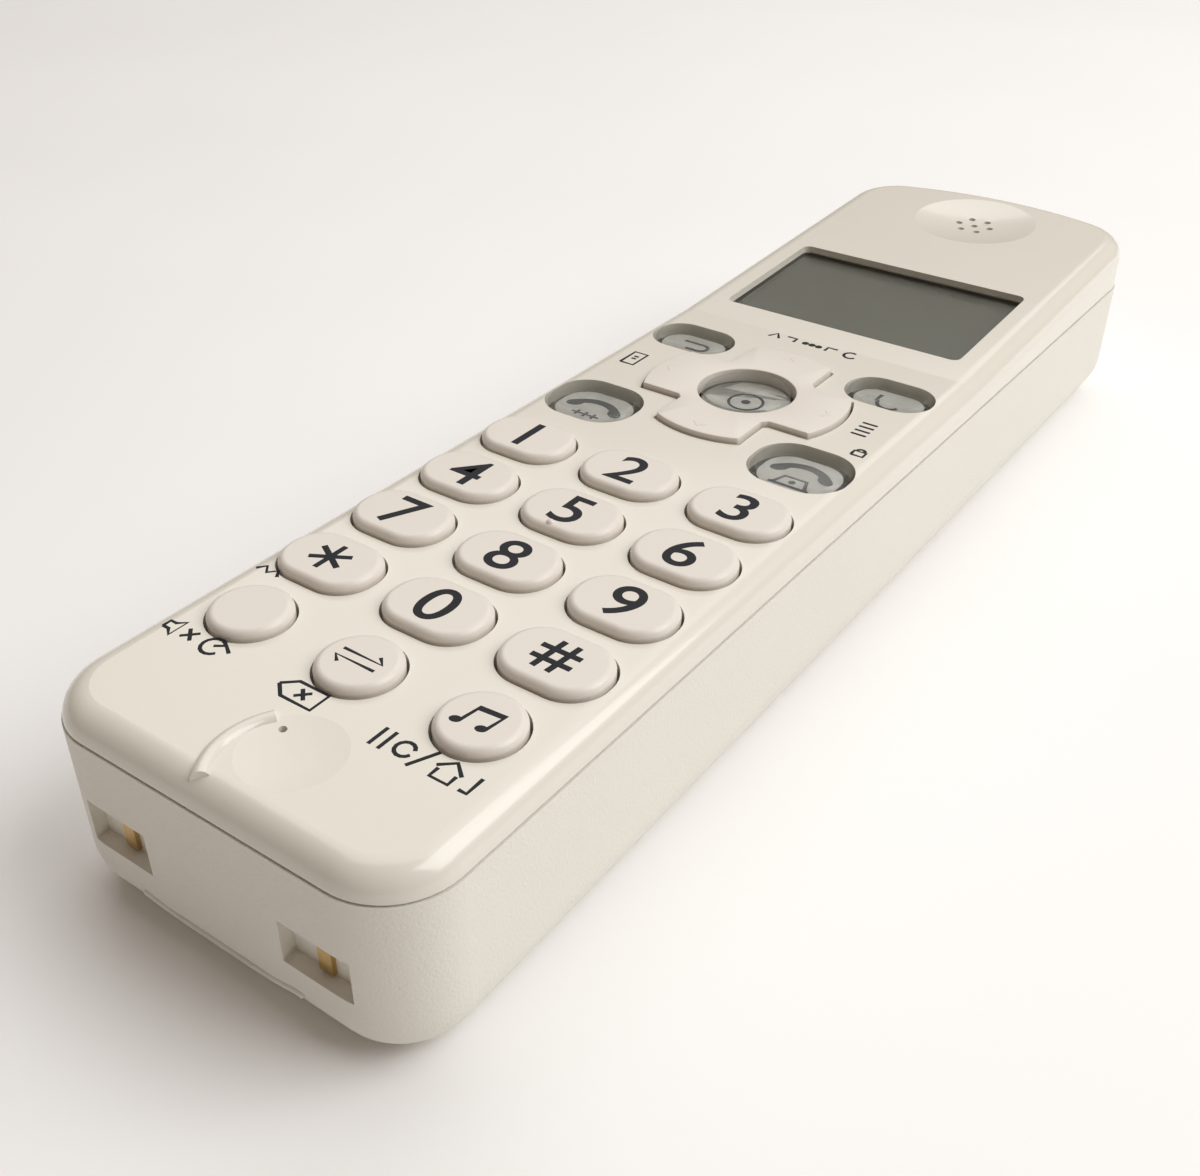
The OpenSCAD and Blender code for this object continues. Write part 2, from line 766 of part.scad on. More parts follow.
nav_swing = (nav_span / 2 + collar) * sin(nav_tilt);
nav_collar_top = inner_z - nav_swing - key_gap;
nav_collar_z = nav_collar_top - 0.8;
rocker_top = nav_collar_z - key_gap;
nav_edge_r = 0.6;
pin_r = 0.3;
pivot_z = floor(20 * rocker_top) / 20 - 0.2;
nav_hole_r = nav_button_d / 2 + key_gap + 0.15;
nav_plate_t = 1.4;
// Underside of the middle button: pressed, it still clears the tilted bar
nav_button_z = ceil(20 * (rocker_top + nav_button_d / 2 * sin(nav_tilt) + key_travel + key_gap)) / 20;

module nav_pad() {
    top = face_z + nav_rise;
    color(cream) difference() {
        union() {
            translate([0, 0, nav_collar_z]) linear_extrude(top - nav_edge_r - nav_collar_z) nav_outline(0);
            translate([0, 0, top - nav_edge_r]) linear_extrude(nav_edge_r / 2) nav_outline(-0.15);
            translate([0, 0, top - nav_edge_r / 2]) linear_extrude(nav_edge_r / 2) nav_outline(-0.45);
            translate([0, 0, nav_collar_z]) linear_extrude(0.8) nav_outline(collar);
            for (s = [-1, 1]) translate([0, nav_y + s * nav_press, nav_stem_z])
                cylinder(r = press_r - 0.4, h = nav_collar_z - nav_stem_z);
        }
        translate([0, nav_y, nav_collar_z - beyond])
            cylinder(r = nav_hole_r, h = top - nav_collar_z + 2 * beyond);
    }
}

// Gimbal bar with four pins: it tilts on the two along Y, and the pad tilts on the two along X
module nav_rocker() {
    half_l = nav_press + 2;
    half_w = 3.8;
    color(dark) translate([0, nav_y, 0]) {
        difference() {
            translate([0, 0, nav_stem_z]) linear_extrude(rocker_top - nav_stem_z)
                round_rect(2 * half_l, 2 * half_w, 1.6);
            cylinder(r = press_r + 0.5, h = face_z);
        }
        for (pin = [[0, half_l], [90, half_w], [180, half_l], [270, half_w]])
            rotate([0, 0, pin[0]]) translate([pin[1] - 0.5, 0, pivot_z]) rotate([0, 90, 0])
                cylinder(r = pin_r, h = 1.7);
    }
}

module nav_button() {
    r = nav_button_d / 2;
    z0 = nav_button_z + nav_plate_t;
    z1 = face_z + nav_rise + 0.2;
    color(smoke) translate([0, nav_y, 0]) rotate_extrude() {
        translate([0, z0]) square([r, z1 - 1 - z0]);
        translate([0, z1 - 1]) {
            square([r - 1, 1]);
            translate([r - 1, 0]) quarter(1);
        }
    }
}

module nav_button_plate() {
    color(silver) translate([0, nav_y, 0]) {
        translate([0, 0, nav_button_z]) cylinder(d = nav_button_d, h = nav_plate_t);
        stem(nav_button_z);
    }
}

// ---------- keypad layers and board ----------

module keypad_area(d) {
    translate([-board_w / 2 + d, round_y - 6 + d])
        square([board_w - 2 * d, soft_y + soft_l / 2 + 1 - round_y + 6 - 2 * d]);
}

module keypad_mat() {
    color([0.8, 0.8, 0.78]) difference() {
        union() {
            translate([0, 0, board_top]) linear_extrude(mat_t) keypad_area(0.4);
            for (p = press_points) translate([p[0], p[1], board_top])
                cylinder(r = press_r + 0.5, h = p[2] - board_top);
        }
        for (p = press_points) translate([p[0], p[1], board_top - beyond])
            cylinder(r = press_r + 0.1, h = beyond + dome_t + fit_gap);
    }
}

module snap_domes() {
    color(silver) for (p = press_points) translate([p[0], p[1], board_top])
        cylinder(r1 = press_r, r2 = press_r - 0.5, h = dome_t);
}

module main_board() {
    color(green) difference() {
        translate([-board_w / 2, board_y0, board_z]) cube([board_w, board_y1 - board_y0, board_t]);
        for (p = board_posts) translate([p[0], p[1], board_z - beyond])
            cylinder(r = board_screw_r + fit_gap, h = board_t + 2 * beyond);
    }
}

module rf_shield() {
    color(silver) translate([-11, nav_y - 6, board_z - 2.4]) difference() {
        cube([22, 24, 2.4]);
        translate([0.3, 0.3, 0.3]) cube([21.4, 23.4, 2.4]);
    }
}

module processor() {
    color(dark) translate([-5, nav_y, board_z - 1.2]) cube([10, 10, 1.2]);
}

module antenna() {
    color(gold) {
        translate([-12, board_y1 - 4.4, board_top]) cube([1.2, 3, 3]);
        translate([-12, board_y1 - 4.4, board_top + 2.6]) cube([24, 3, 0.4]);
    }
}

// ---------- sound ----------

module earpiece_gasket() {
    color(dark) on_rise() translate([0, earpiece_y - rise_y, -wall - gasket_t]) difference() {
        cylinder(d = speaker_d, h = gasket_t);
        translate([0, 0, -beyond]) cylinder(d = speaker_d - 4, h = gasket_t + 2 * beyond);
    }
}

module earpiece_speaker() {
    color(silver) on_rise() translate([0, earpiece_y - rise_y, -wall - gasket_t - speaker_h]) {
        cylinder(d = speaker_d, h = speaker_h);
        translate([0, 0, -0.8]) cylinder(d = speaker_d - 6, h = 0.8);
    }
}

module microphone_boot() {
    color(dark) translate([mic_x, mic_y, board_top]) difference() {
        cylinder(d = mic_d + 1.6, h = inner_z - fit_gap - board_top);
        translate([0, 0, 0.6]) cylinder(d = mic_d + 2 * fit_gap, h = mic_h + 0.1);
        translate([0, 0, 1]) cylinder(d = 2.4, h = face_z);
    }
}

module microphone() {
    color(silver) translate([mic_x, mic_y, board_top + 0.6]) cylinder(d = mic_d, h = mic_h);
}

module ringer_gasket() {
    color(dark) translate([0, ringer_y, wall]) difference() {
        cylinder(d = ringer_d, h = gasket_t);
        translate([0, 0, -beyond]) cylinder(d = ringer_d - 5, h = gasket_t + 2 * beyond);
    }
}

module ringer_speaker() {
    color(silver) translate([0, ringer_y, wall + gasket_t]) {
        cylinder(d = ringer_d, h = 1.6);
        translate([0, 0, 1.6]) cylinder(d = ringer_d - 10, h = ringer_h - 1.6);
    }
}

// ---------- power ----------

module battery_pack() {
    r = cell_d / 2 + cell_sleeve;
    color([0.25, 0.4, 0.62]) translate([0, pack_y0, pack_z + r]) rotate([-90, 0, 0]) {
        for (i = [-1:1]) translate([i * cell_d, 0, 0]) cylinder(r = r, h = cell_l);
        translate([-cell_d, -r * 0.8, 0]) cube([2 * cell_d, 2 * r * 0.8, cell_l]);
    }
}

module battery_contacts() {
    color(gold) for (s = [-1, 1])
        translate([s * cell_d - 2, pack_y0 + cell_l + 0.2, pack_z + 3]) cube([4, 0.4, cell_d - 4]);
}

module charge_contact(s) {
    front = y_bottom + contact_depth;
    color(gold) translate([s * contact_x - strip_w / 2, front, 0]) {
        translate([0, -0.5, contact_z - contact_h / 2 + 0.3]) cube([strip_w, 0.5, contact_h - 0.6]);
        translate([0, -0.5, contact_z - 0.2]) cube([strip_w, 4.4, 0.6]);
        translate([0, 3.3, contact_z - 0.2]) cube([strip_w, 0.6, board_z - contact_z + 0.2]);
    }
}

// ---------- screws ----------

module case_screws() {
    color(silver) for (p = case_posts) translate([p[0], p[1], 0]) difference() {
        union() {
            translate([0, 0, counterbore_h - 1.6]) cylinder(r = 2.2, h = 1.6);
            translate([0, 0, counterbore_h]) cylinder(r = case_screw_r, h = case_meet_z + 5 - counterbore_h);
        }
        for (a = [0, 90]) rotate([0, 0, a]) translate([-1.3, -0.25, counterbore_h - 2]) cube([2.6, 0.5, 1.2]);
    }
}

module board_screws() {
    color(silver) for (p = board_posts) translate([p[0], p[1], 0]) {
        translate([0, 0, board_z - 0.8]) cylinder(r = 1.5, h = 0.8);
        translate([0, 0, board_z]) cylinder(r = board_screw_r, h = board_t + 2.2);
    }
}

// ---------- nodes ----------

front_cover();
rear_cover();
battery_cover();
display_window();
display_panel();
display_holder();
for (k = number_keys) number_key(k);
for (k = round_keys) round_key(k);
for (k = clear_keys) clear_key(k);
for (k = clear_keys) clear_key_plate(k);
nav_pad();
nav_rocker();
nav_button();
nav_button_plate();
keypad_mat();
snap_domes();
main_board();
rf_shield();
processor();
earpiece_speaker();
earpiece_gasket();
microphone();
microphone_boot();
ringer_speaker();
ringer_gasket();
battery_pack();
battery_contacts();
charge_contact(-1);  // charge_contact_left
charge_contact(1);  // charge_contact_right
antenna();
case_screws();
board_screws();
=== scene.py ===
"""Finished looks of a cordless phone handset, laid out as a Blender add-on and run as a script."""

import json
import math

import bpy
from bpy.props import FloatProperty, FloatVectorProperty, PointerProperty
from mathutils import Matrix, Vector


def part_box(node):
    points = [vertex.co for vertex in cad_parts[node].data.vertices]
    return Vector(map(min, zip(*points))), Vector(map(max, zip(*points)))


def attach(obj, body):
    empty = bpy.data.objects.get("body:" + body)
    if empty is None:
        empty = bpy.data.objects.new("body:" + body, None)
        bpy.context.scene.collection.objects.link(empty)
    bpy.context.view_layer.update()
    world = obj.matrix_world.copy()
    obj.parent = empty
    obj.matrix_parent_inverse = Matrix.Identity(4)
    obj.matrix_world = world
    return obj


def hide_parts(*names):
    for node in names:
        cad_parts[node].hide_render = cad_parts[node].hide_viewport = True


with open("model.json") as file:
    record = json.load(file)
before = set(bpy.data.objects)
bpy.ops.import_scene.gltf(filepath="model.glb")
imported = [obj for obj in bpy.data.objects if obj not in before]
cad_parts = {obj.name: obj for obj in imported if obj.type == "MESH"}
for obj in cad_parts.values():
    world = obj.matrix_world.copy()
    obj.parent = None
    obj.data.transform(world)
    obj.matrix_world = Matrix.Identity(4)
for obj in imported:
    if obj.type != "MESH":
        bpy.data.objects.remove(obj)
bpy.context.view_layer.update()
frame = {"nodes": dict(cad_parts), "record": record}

bl_info = {
    "name": "Phone Handset",
    "version": (1, 0, 0),
    "blender": (4, 5, 0),
    "location": "View3D > Sidebar > Handset",
    "description": "Finishes, legends and studio for a cordless phone handset",
    "category": "Object",
}

MM = 0.001
NUMBER_KEYS = ["key_1", "key_2", "key_3", "key_4", "key_5", "key_6",
               "key_7", "key_8", "key_9", "key_star", "key_0", "key_hash"]

# Height of the front cover's face, in metres
FACE = 0.0232

# Sizes from here to the navigator's are millimetres
PRINT_RISE = 0.02
SIGN_BOLD = 0.06
SIGN_WIDE = 1.08
SIGN_EXTRUDE = 0.02

# Navigator: reach of the arms, half the width of an arm, radius of the hub and of the hole, and its rounding
NAV_REACH = 13.2
NAV_ARM = 5.8
NAV_HUB = 8.7
NAV_HOLE = 6.25
NAV_ROUND = 0.6
NAV_SINK = 1.2

# End of the handset, where the rib on the battery cover follows the rounded lower edge
END_Y = -82.0
END_EDGE_R = 6.0
RIB_R = 0.42
RIB_SINK = 0.12
RIB_LINE = [(-10.6, 4.75), (-9.0, 4.25), (-6.5, 3.72), (-3.5, 3.38), (-0.5, 3.28), (2.5, 3.4),
            (5.5, 3.78), (8.3, 4.4), (9.8, 4.95), (10.2, 4.6)]

# Depth of the grain on plastic, on metal and on clear mouldings, in metres
GRAIN_DEPTH = 0.00008
DRAWN_DEPTH = 0.00003
RIPPLE_DEPTH = 0.00006

# Stage, in metres and degrees
CAMERA_PLACE = (0.0767392, -0.1375352, 0.1012848)
CAMERA_TURN = (55.79285, -0.24703, 35.51903)
FLOOR_SIZE = 6
WORLD_COLOUR = (1.0, 0.83, 0.68, 1)
WORLD_STRENGTH = 0.22
MAIN_LIGHT = {"place": (0.55, 0.25, 0.65), "target": (0, -0.02, 0), "size": 0.7}
CEILING_LIGHT = {"place": (-0.35, 0.60, 1.15), "target": (0, 0.05, 0), "size": 1.5}
CEILING_SHARE = 1.5


# ---------- small helpers ----------

def centre_of(node):
    """Middle of a CAD node's box."""
    low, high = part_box(node)
    return (low + high) / 2


def top_of(node):
    """Height of a CAD node's top."""
    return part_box(node)[1].z


def on_top(node):
    """Middle of a CAD node's top."""
    middle = centre_of(node)
    return Vector((middle.x, middle.y, top_of(node)))


def active(name):
    """Names the piece that was made last."""
    piece = bpy.context.object
    piece.name = name
    piece.data.name = name
    return piece


def settle(piece):
    """Moves a piece's place into its mesh."""
    bpy.ops.object.select_all(action="DESELECT")
    piece.select_set(True)
    bpy.context.view_layer.objects.active = piece
    bpy.ops.object.transform_apply(location=True, rotation=True, scale=True)
    return piece


def to_mesh(piece):
    """Turns a curve or a letter into a mesh."""
    bpy.ops.object.select_all(action="DESELECT")
    piece.select_set(True)
    bpy.context.view_layer.objects.active = piece
    bpy.ops.object.convert(target="MESH")
    return bpy.context.object


def join(name, pieces):
    """Joins pieces into one, with its place in its mesh."""
    bpy.ops.object.select_all(action="DESELECT")
    for piece in pieces:
        piece.select_set(True)
    bpy.context.view_layer.objects.active = pieces[0]
    if len(pieces) > 1:
        bpy.ops.object.join()
    return settle(active(name))


def finish_piece(piece, body, material):
    """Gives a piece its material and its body."""
    piece.data.materials.clear()
    piece.data.materials.append(material)
    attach(piece, body)
    return piece


def stroke(points, width, place, closed=False):
    """A painted line through points (mm), as a thin raised print at place."""
    bpy.ops.object.select_all(action="DESELECT")
    bpy.ops.curve.primitive_nurbs_path_add(location=(0, 0, 0))
    line = bpy.context.object
    curve = line.data
    curve.splines.clear()
    spline = curve.splines.new("POLY")
    spline.points.add(len(points) - 1)
    for knot, (x, y) in zip(spline.points, points):
        knot.co = (x * MM, y * MM, 0, 1)
    spline.use_cyclic_u = closed
    curve.bevel_depth = width / 2 * MM
    curve.bevel_resolution = 2
    curve.use_fill_caps = True
    line = to_mesh(line)
    line.scale = (1, 1, PRINT_RISE / (width / 2))
    line.location = place
    return settle(line)


def blob(x, y, radius_x, radius_y, place, turn=0.0):
    """A painted dot (mm) beside place."""
    bpy.ops.object.select_all(action="DESELECT")
    bpy.ops.mesh.primitive_uv_sphere_add(segments=24, ring_count=8, radius=1)
    dot = bpy.context.object
    dot.scale = (radius_x * MM, radius_y * MM, PRINT_RISE * MM)
    offset = Vector((x * MM, y * MM, 0))
    dot.location = Vector(place) + offset
    dot.rotation_euler = (0, 0, turn)
    return settle(dot)


def arc(cx, cy, radius, start, end, steps=14):
    """Points (mm) along an arc, angles in degrees."""
    turn = (end - start) / steps
    return [(cx + radius * math.cos(math.radians(start + i * turn)),
             cy + radius * math.sin(math.radians(start + i * turn))) for i in range(steps + 1)]



def soften(piece, width, segments):
    """Rounds a piece's sharp edges with a bevel that is then applied."""
    bpy.ops.object.select_all(action="DESELECT")
    piece.select_set(True)
    bpy.context.view_layer.objects.active = piece
    bevel = piece.modifiers.new("soft edges", "BEVEL")
    bevel.width = width
    bevel.segments = segments
    bevel.limit_method = "ANGLE"
    bevel.angle_limit = math.radians(40)
    bpy.ops.object.modifier_apply(modifier=bevel.name)
    return piece


# ---------- shader groups ----------

def link(tree, source, target):
    tree.links.new(source, target)


def feed(tree, socket, value):
    """Links a socket to another, or sets it to a constant."""
    if hasattr(value, "links"):
        link(tree, value, socket)
    else:
        socket.default_value = value


def new_group(name, inputs, outputs):
    """Empty shader group with its sockets."""
    tree = bpy.data.node_groups.new(name, "ShaderNodeTree")
    for label, kind, default in inputs:
        socket = tree.interface.new_socket(name=label, in_out="INPUT", socket_type=kind)
        if default is not None:
            socket.default_value = default
    for label, kind in outputs:
        tree.interface.new_socket(name=label, in_out="OUTPUT", socket_type=kind)
    return tree, tree.nodes.new("NodeGroupInput"), tree.nodes.new("NodeGroupOutput")


def noise(tree, vector, scale, detail, roughness=0.5):
    """Cloudy pattern from 0 to 1."""
    node = tree.nodes.new("ShaderNodeTexNoise")
    node.inputs["Detail"].default_value = detail
    node.inputs["Roughness"].default_value = roughness
    link(tree, vector, node.inputs["Vector"])
    feed(tree, node.inputs["Scale"], scale)
    return node.outputs["Fac"]


def math_node(tree, operation, first, second):
    node = tree.nodes.new("ShaderNodeMath")
    node.operation = operation
    for socket, value in zip(node.inputs, (first, second)):
        feed(tree, socket, value)
    return node.outputs["Value"]


def mix_colour(tree, factor, first, second):
    node = tree.nodes.new("ShaderNodeMix")
    node.data_type = "RGBA"
    for socket, value in ((node.inputs[0], factor), (node.inputs[6], first), (node.inputs[7], second)):
        feed(tree, socket, value)
    return node.outputs[2]


def spread(tree, value, low, high, to_low, to_high):
    """Maps the part of value between low and high onto to_low and to_high."""
    node = tree.nodes.new("ShaderNodeMapRange")
    for label, entry in (("From Min", low), ("From Max", high), ("To Min", to_low), ("To Max", to_high)):
        node.inputs[label].default_value = entry
    link(tree, value, node.inputs["Value"])
    return node.outputs["Result"]


def moulded_group():
    """Moulded plastic: slow cloudy tint, handling marks in the gloss, and a fine grain."""
    tree, given, out = new_group(
        "moulded plastic",
        [("Vector", "NodeSocketVector", None), ("Colour", "NodeSocketColor", (0.8, 0.8, 0.8, 1)),
         ("Tint", "NodeSocketColor", (0.7, 0.7, 0.7, 1)), ("Cloud Scale", "NodeSocketFloat", 30.0),
         ("Tint Amount", "NodeSocketFloat", 0.2), ("Roughness", "NodeSocketFloat", 0.3),
         ("Roughness Spread", "NodeSocketFloat", 0.06), ("Grain Scale", "NodeSocketFloat", 3000.0)],
        [("Colour", "NodeSocketColor"), ("Roughness", "NodeSocketFloat"), ("Height", "NodeSocketFloat")])
    vector = given.outputs["Vector"]
    cloud = noise(tree, vector, given.outputs["Cloud Scale"], 3.0)
    clouds = spread(tree, cloud, 0.35, 0.7, 0.0, 1.0)
    cloudy = math_node(tree, "MULTIPLY", clouds, given.outputs["Tint Amount"])
    grain = noise(tree, vector, given.outputs["Grain Scale"], 2.0, 0.6)
    handled = noise(tree, vector, 160.0, 4.0, 0.6)
    swing = math_node(tree, "SUBTRACT", handled, 0.5)
    swing = math_node(tree, "MULTIPLY", swing, given.outputs["Roughness Spread"])
    link(tree, mix_colour(tree, cloudy, given.outputs["Colour"], given.outputs["Tint"]), out.inputs["Colour"])
    link(tree, math_node(tree, "ADD", given.outputs["Roughness"], swing), out.inputs["Roughness"])
    link(tree, grain, out.inputs["Height"])
    return tree


def brushed_group():
    """Metal with fine drawn lines along one axis and a few dull patches."""
    tree, given, out = new_group(
        "drawn metal",
        [("Vector", "NodeSocketVector", None), ("Colour", "NodeSocketColor", (0.7, 0.7, 0.7, 1)),
         ("Dull Colour", "NodeSocketColor", (0.5, 0.5, 0.5, 1)), ("Line Scale", "NodeSocketFloat", 4000.0),
         ("Roughness", "NodeSocketFloat", 0.3)],
        [("Colour", "NodeSocketColor"), ("Roughness", "NodeSocketFloat"), ("Height", "NodeSocketFloat")])
    stretch = tree.nodes.new("ShaderNodeMapping")
    stretch.inputs["Scale"].default_value = (1.0, 0.04, 1.0)
    link(tree, given.outputs["Vector"], stretch.inputs["Vector"])
    lines = noise(tree, stretch.outputs["Vector"], given.outputs["Line Scale"], 2.0)
    patch = spread(tree, noise(tree, given.outputs["Vector"], 500.0, 3.0), 0.45, 0.7, 0.0, 0.6)
    colour = mix_colour(tree, patch, given.outputs["Colour"], given.outputs["Dull Colour"])
    link(tree, colour, out.inputs["Colour"])
    rough = math_node(tree, "ADD", given.outputs["Roughness"], math_node(tree, "MULTIPLY", lines, 0.12))
    link(tree, rough, out.inputs["Roughness"])
    link(tree, lines, out.inputs["Height"])
    return tree


def base_material(name):
    """New material with its shader and its Object coordinates."""
    material = bpy.data.materials.new(name)
    material.use_nodes = True
    tree = material.node_tree
    shader = tree.nodes["Principled BSDF"]
    place = tree.nodes.new("ShaderNodeTexCoord")
    return material, tree, shader, place.outputs["Object"]


def add_bump(tree, shader, height, strength, distance):
    """Fine relief on a shader's normal."""
    bump = tree.nodes.new("ShaderNodeBump")
    bump.inputs["Strength"].default_value = strength
    bump.inputs["Distance"].default_value = distance
    link(tree, height, bump.inputs["Height"])
    link(tree, bump.outputs["Normal"], shader.inputs["Normal"])


def finish(name, effect, values, strength, depth):
    """Material whose colour, gloss and grain come from a shared effect."""
    material, tree, shader, place = base_material(name)
    group = tree.nodes.new("ShaderNodeGroup")
    group.node_tree = bpy.data.node_groups[effect]
    for label, value in values.items():
        group.inputs[label].default_value = value
    link(tree, place, group.inputs["Vector"])
    link(tree, group.outputs["Colour"], shader.inputs["Base Color"])
    link(tree, group.outputs["Roughness"], shader.inputs["Roughness"])
    add_bump(tree, shader, group.outputs["Height"], strength, depth)
    return material, tree, shader, place


def plastic(name, colour, tint, rough, grain_scale, grain_strength, coat=0.0, shine=0.5):
    """Moulded plastic, ink, rubber or foam."""
    values = {"Colour": (*colour, 1), "Tint": (*tint, 1), "Tint Amount": 0.25, "Roughness": rough,
              "Roughness Spread": 0.06, "Grain Scale": grain_scale}
    material, tree, shader, place = finish(name, "moulded plastic", values, grain_strength, GRAIN_DEPTH)
    shader.inputs["Specular IOR Level"].default_value = shine
    shader.inputs["Coat Weight"].default_value = coat
    shader.inputs["Coat Roughness"].default_value = 0.08
    return material


def metal(name, colour, dull, rough, metallic=1.0):
    """Drawn or plated metal."""
    values = {"Colour": (*colour, 1), "Dull Colour": (*dull, 1), "Roughness": rough}
    material, tree, shader, place = finish(name, "drawn metal", values, 0.15, DRAWN_DEPTH)
    shader.inputs["Metallic"].default_value = metallic
    return material


def clear(name, colour, rough, ior, cover=None):
    """Clear moulding with a faint ripple. With cover it is a smoky cap that lets the print under it show."""
    values = {"Colour": (*colour, 1), "Tint": (*[0.93 * c for c in colour], 1), "Roughness": rough,
              "Roughness Spread": 0.03, "Grain Scale": 350.0}
    material, tree, shader, place = finish(name, "moulded plastic", values, 0.06, RIPPLE_DEPTH)
    shader.inputs["IOR"].default_value = ior
    if cover is None:
        shader.inputs["Transmission Weight"].default_value = 1.0
        return material
    smoke = spread(tree, noise(tree, place, 260.0, 2.0), 0.3, 0.7, cover - 0.04, cover + 0.04)
    link(tree, smoke, shader.inputs["Alpha"])
    shader.inputs["Coat Weight"].default_value = 1.0
    shader.inputs["Coat Roughness"].default_value = 0.03
    return material


MATERIALS = {}


# ---------- settings ----------

class HandsetColours(bpy.types.PropertyGroup):
    front: FloatVectorProperty(name="Front cover", description="Colour of the glossy front cover",
                               subtype="COLOR", size=3, min=0, max=1, default=(0.79, 0.76, 0.675))
    rear: FloatVectorProperty(name="Rear cover", description="Colour of the textured rear cover",
                              subtype="COLOR", size=3, min=0, max=1, default=(0.81, 0.785, 0.715))
    keys: FloatVectorProperty(name="Keys", description="Colour of the number keys",
                              subtype="COLOR", size=3, min=0, max=1, default=(0.80, 0.75, 0.685))
    legend: FloatVectorProperty(name="Legends", description="Colour of digits and marks",
                                subtype="COLOR", size=3, min=0, max=1, default=(0.018, 0.020, 0.025))
    display: FloatVectorProperty(name="Display", description="Colour of the display panel",
                                 subtype="COLOR", size=3, min=0, max=1, default=(0.235, 0.24, 0.21))


class HandsetSizes(bpy.types.PropertyGroup):
    digit_height: FloatProperty(name="Digit height", description="Height of the digits on the keys",
                                subtype="DISTANCE", unit="LENGTH", default=0.0056)
    mark_width: FloatProperty(name="Mark line", description="Line width of the small marks",
                              subtype="DISTANCE", unit="LENGTH", default=0.00042)
    camera_lens: FloatProperty(name="Lens", description="Focal length of the camera in millimetres",
                               default=41.393)
    key_light: FloatProperty(name="Main light", description="Power of the main light in watts", default=5.9)


# ---------- operators ----------

class HANDSET_OT_finishes(bpy.types.Operator):
    """Builds the finishes and puts them on the CAD nodes"""
    bl_idname = "handset.finishes"
    bl_label = "Finishes"

    def execute(self, context):
        colours = context.scene.handset_colours
        moulded_group()
        brushed_group()
        front, rear, keys = (tuple(c) for c in (colours.front, colours.rear, colours.keys))
        front_tint = tuple(0.93 * c for c in front)
        rear_tint = tuple(0.92 * c for c in rear)
        key_tint = tuple(0.95 * c for c in keys)
        legend, display = tuple(colours.legend), tuple(colours.display)
        made = {
            "front_plastic": plastic("front gloss", front, front_tint, 0.22, 2500, 0.05, coat=0.35),
            "rear_plastic": plastic("rear spark texture", rear, rear_tint, 0.52, 3000, 0.9),
            "key_plastic": plastic("key satin", keys, key_tint, 0.33, 4200, 0.10),
            "legend_ink": plastic("legend ink", legend, (0.03, 0.03, 0.035), 0.6, 6000, 0.10, shine=0.2),
            "blue_ink": plastic("icon ink", (0.03, 0.04, 0.065), (0.02, 0.03, 0.05), 0.6, 6000, 0.1,
                                shine=0.2),
            "display_grey": plastic("display grey", display, (0.24, 0.25, 0.22), 0.3, 7000, 0.05),
            "black_plastic": plastic("black plastic", (0.02, 0.02, 0.021), (0.03, 0.03, 0.03), 0.45,
                                     5000, 0.2),
            "silicone": plastic("silicone", (0.62, 0.62, 0.60), (0.55, 0.55, 0.54), 0.55, 3500, 0.2),
            "board_green": plastic("board lacquer", (0.02, 0.12, 0.05), (0.03, 0.17, 0.07), 0.3, 1500, 0.1),
            "foam": plastic("foam", (0.03, 0.03, 0.03), (0.06, 0.06, 0.06), 0.9, 2600, 0.9),
            "black_rubber": plastic("black rubber", (0.02, 0.02, 0.02), (0.035, 0.035, 0.035), 0.7,
                                    3000, 0.3),
            "battery_sleeve": plastic("battery sleeve", (0.05, 0.13, 0.34), (0.04, 0.10, 0.28), 0.28,
                                      900, 0.2),
            "label_silver": plastic("plain label", (0.62, 0.62, 0.60), (0.55, 0.55, 0.53), 0.35, 2500, 0.1),
            "silver_print": metal("silver plate", (0.74, 0.74, 0.70), (0.58, 0.58, 0.54), 0.36, 0.75),
            "spring_steel": metal("spring steel", (0.62, 0.62, 0.61), (0.45, 0.45, 0.44), 0.28),
            "tin_plate": metal("tin plate", (0.60, 0.60, 0.58), (0.42, 0.42, 0.40), 0.36),
            "brass": metal("gold plating", (0.66, 0.46, 0.20), (0.36, 0.24, 0.11), 0.30),
            "clear_window": clear("window", (0.93, 0.95, 0.93), 0.04, 1.49),
            "clear_key": clear("smoky clear", (0.30, 0.305, 0.265), 0.06, 1.6, cover=0.2),
        }
        MATERIALS.update(made)
        slots = {part["node"]: part["material_slot"] for part in frame["record"]["subparts"]}
        for name, node in frame["nodes"].items():
            if slots.get(name) not in made:
                raise RuntimeError(f"{name} has no finish")
            node.data.materials.clear()
            node.data.materials.append(made[slots[name]])
        return {"FINISHED"}


def written(name, text, node, height, material):
    """A digit printed on the top of a key."""
    place = centre_of(node)
    bpy.ops.object.select_all(action="DESELECT")
    bpy.ops.object.text_add(location=(0, 0, 0))
    letter = bpy.context.object
    letter.data.body = text
    letter.data.align_x = "CENTER"
    letter.data.align_y = "CENTER"
    letter.data.size = 1.0
    letter.data.resolution_u = 8
    letter.data.offset = SIGN_BOLD * MM / height * 0.72
    letter.data.extrude = SIGN_EXTRUDE
    letter = to_mesh(letter)
    xs = [v.co.x for v in letter.data.vertices]
    ys = [v.co.y for v in letter.data.vertices]
    middle = Vector(((min(xs) + max(xs)) / 2, (min(ys) + max(ys)) / 2, 0))
    size = height / (max(ys) - min(ys))
    letter.scale = (size * SIGN_WIDE, size, PRINT_RISE * MM / SIGN_EXTRUDE)
    letter.location = (place.x - middle.x * size * SIGN_WIDE, place.y - middle.y * size, top_of(node))
    letter = settle(letter)
    letter.name = name
    return finish_piece(letter, node, material)


